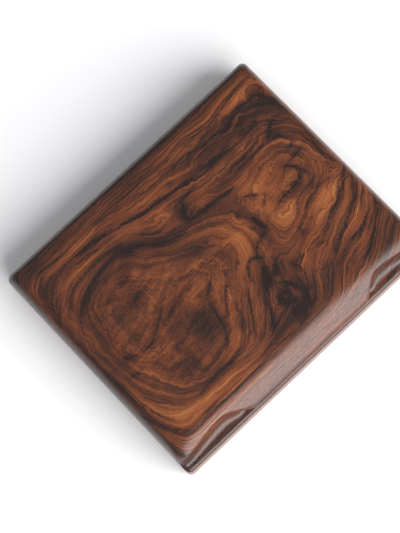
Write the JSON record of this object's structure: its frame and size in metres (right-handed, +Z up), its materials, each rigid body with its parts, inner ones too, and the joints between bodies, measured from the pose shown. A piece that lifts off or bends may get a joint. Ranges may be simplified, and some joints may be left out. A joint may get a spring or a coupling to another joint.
{
  "type": "dip pen case",
  "caption": "Hinged hardwood case that holds dip pens: finger lip along the lid's front, brass butt hinges, magnetic closure, notched pen rests and a divided nib bay lined in baize.",
  "frame": {"origin": "centre of the closed case's bounding box, on its underside", "axes": "+X along the front edge to the right, +Y from the finger lip at the front to the hinges at the back, +Z up"},
  "size_m": [0.19, 0.1574, 0.0345],
  "materials": {
    "figured_walnut": "oiled and waxed burr walnut, satin gloss",
    "plain_walnut": "straight-grained walnut, oiled, matt",
    "green_baize": "dark green wool baize, napped",
    "brass": "polished, lightly tarnished",
    "nickel_plate": "nickel plated, satin"
  },
  "bodies": {
    "base": {"base_shell": "figured_walnut", "underside_baize": "green_baize", "pen_bay_lining": "green_baize", "nib_bay_lining": "green_baize", "nib_bay_partition": "plain_walnut", "nib_bay_divider_left": "plain_walnut", "nib_bay_divider_right": "plain_walnut", "pen_rest_left": "plain_walnut", "pen_rest_right": "plain_walnut", "base_magnet_left": "nickel_plate", "base_magnet_right": "nickel_plate", "hinge_leaf_base_left": "brass", "hinge_leaf_base_right": "brass", "hinge_pin_left": "brass", "hinge_pin_right": "brass", "screw_base_left_a": "brass", "screw_base_left_b": "brass", "screw_base_right_a": "brass", "screw_base_right_b": "brass"},
    "lid": {"lid_shell": "figured_walnut", "lid_lining": "green_baize", "lid_magnet_left": "nickel_plate", "lid_magnet_right": "nickel_plate", "hinge_leaf_lid_left": "brass", "hinge_leaf_lid_right": "brass", "screw_lid_left_a": "brass", "screw_lid_left_b": "brass", "screw_lid_right_a": "brass", "screw_lid_right_b": "brass"}
  },
  "joints": [
    {"name": "lid_hinge", "type": "hinge", "parent": "base", "child": "lid", "pos_m": [0, 0.07685, 0.0175], "axis": [-1, 0, 0], "range_deg": [0, 180]}
  ]
}
